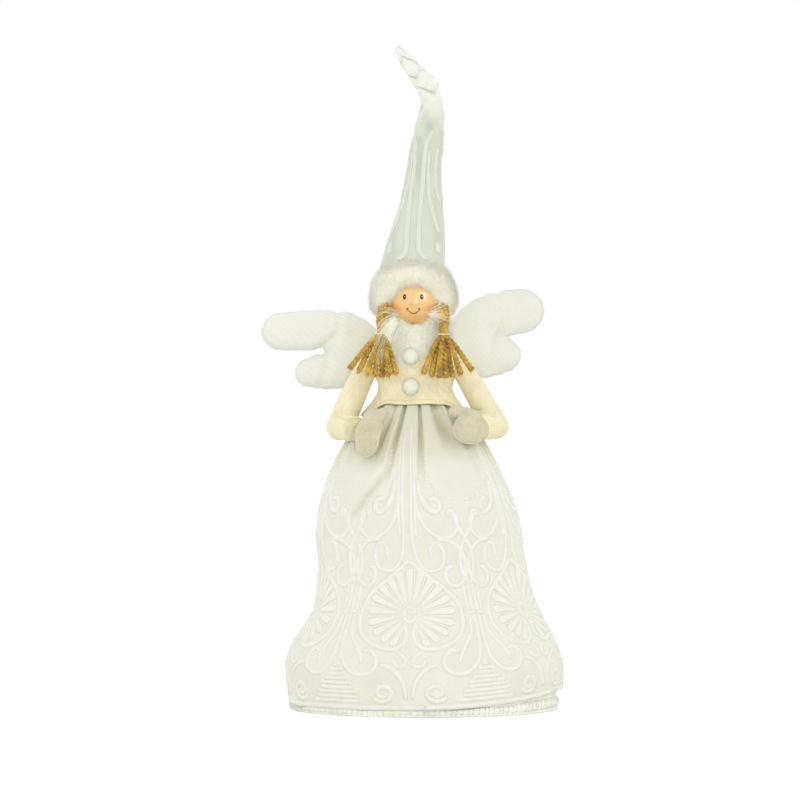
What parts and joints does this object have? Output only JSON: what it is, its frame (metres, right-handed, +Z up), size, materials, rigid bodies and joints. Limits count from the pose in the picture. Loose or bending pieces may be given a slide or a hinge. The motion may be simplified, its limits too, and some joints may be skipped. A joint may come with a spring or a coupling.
{
  "type": "fabric angel figurine",
  "caption": "Standing stuffed fabric angel with a long embroidered skirt, bent arms in mittens, plush wings, yarn pigtails and a tall pointed hat with a fur brim.",
  "frame": {"origin": "middle of the flat underside of the base cover, on the surface that the figure stands on", "axes": "+Z up through the hat, -Y towards the front of the figure, +X to the right as seen from the front"},
  "size_m": [0.2081, 0.16, 0.463],
  "materials": {
    "embroidered_tulle": "matte",
    "embroidered_hat_cloth": "matte",
    "white_cotton": "matte",
    "card": "matte",
    "sand_pouch": "matte",
    "cream_jersey": "matte",
    "felt": "matte",
    "white_plush": "matte",
    "brim_fur": "matte",
    "long_fur": "matte",
    "pom_pom": "matte",
    "yarn": "matte",
    "thread": "matte",
    "painted_skin": "satin",
    "bare_wood": "matte",
    "stuffing": "matte"
  },
  "bodies": {
    "figure": {"skirt": "embroidered_tulle", "hat_cone": "embroidered_hat_cloth", "body_sack": "white_cotton", "base_cover": "white_cotton", "base_board": "card", "weight_bag": "sand_pouch", "bodice": "cream_jersey", "hat_brim": "brim_fur", "fur_collar": "long_fur", "pom_pom_upper": "pom_pom", "pom_pom_lower": "pom_pom", "head": "painted_skin", "neck_dowel": "bare_wood", "torso_filling": "stuffing", "hat_filling": "stuffing"},
    "upper_arm_left": {"upper_arm_left": "cream_jersey"},
    "upper_arm_right": {"upper_arm_right": "cream_jersey"},
    "forearm_left": {"forearm_left": "cream_jersey", "mitten_left": "felt"},
    "forearm_right": {"forearm_right": "cream_jersey", "mitten_right": "felt"},
    "wing_left": {"wing_left": "white_plush"},
    "wing_right": {"wing_right": "white_plush"},
    "pigtail_left": {"yarn_left_1": "yarn", "yarn_left_2": "yarn", "yarn_left_3": "yarn", "yarn_left_4": "yarn", "yarn_left_5": "yarn", "yarn_left_6": "yarn", "yarn_left_7": "yarn", "pigtail_tie_left": "thread"},
    "pigtail_right": {"yarn_right_1": "yarn", "yarn_right_2": "yarn", "yarn_right_3": "yarn", "yarn_right_4": "yarn", "yarn_right_5": "yarn", "yarn_right_6": "yarn", "yarn_right_7": "yarn", "pigtail_tie_right": "thread"},
    "hat_tip": {"hat_tip": "embroidered_hat_cloth"}
  },
  "joints": [
    {"name": "shoulder_left", "type": "hinge", "parent": "figure", "child": "upper_arm_left", "pos_m": [-0.037, 0, 0.238], "axis": [0, 1, 0], "range_deg": [0, 60]},
    {"name": "shoulder_right", "type": "hinge", "parent": "figure", "child": "upper_arm_right", "pos_m": [0.025, 0, 0.238], "axis": [0, -1, 0], "range_deg": [0, 60]},
    {"name": "elbow_left", "type": "hinge", "parent": "upper_arm_left", "child": "forearm_left", "pos_m": [-0.06313, -0.00294, 0.19675], "axis": [-0.5081, -0.2248, -0.8315], "range_deg": [0, 45]},
    {"name": "elbow_right", "type": "hinge", "parent": "upper_arm_right", "child": "forearm_right", "pos_m": [0.05113, -0.00294, 0.19675], "axis": [-0.5081, 0.2248, 0.8315], "range_deg": [0, 45]},
    {"name": "wing_left_fold", "type": "hinge", "parent": "figure", "child": "wing_left", "pos_m": [-0.016, 0.02277, 0.249], "axis": [0, 0, -1], "range_deg": [-8, 45], "stiffness_Nm_per_rad": 0.01},
    {"name": "wing_right_fold", "type": "hinge", "parent": "figure", "child": "wing_right", "pos_m": [0.004, 0.02277, 0.249], "axis": [0, 0, 1], "range_deg": [-28, 30], "stiffness_Nm_per_rad": 0.01},
    {"name": "pigtail_left_swing", "type": "hinge", "parent": "figure", "child": "pigtail_left", "pos_m": [-0.027, -0.013, 0.2885], "axis": [-1, 0, 0], "range_deg": [0, 35]},
    {"name": "pigtail_right_swing", "type": "hinge", "parent": "figure", "child": "pigtail_right", "pos_m": [0.015, -0.013, 0.2885], "axis": [-1, 0, 0], "range_deg": [0, 35]},
    {"name": "hat_tip_bend", "type": "hinge", "parent": "figure", "child": "hat_tip", "pos_m": [0.006, 0.01766, 0.42322], "axis": [0, -1, 0], "range_deg": [-60, 30]}
  ]
}
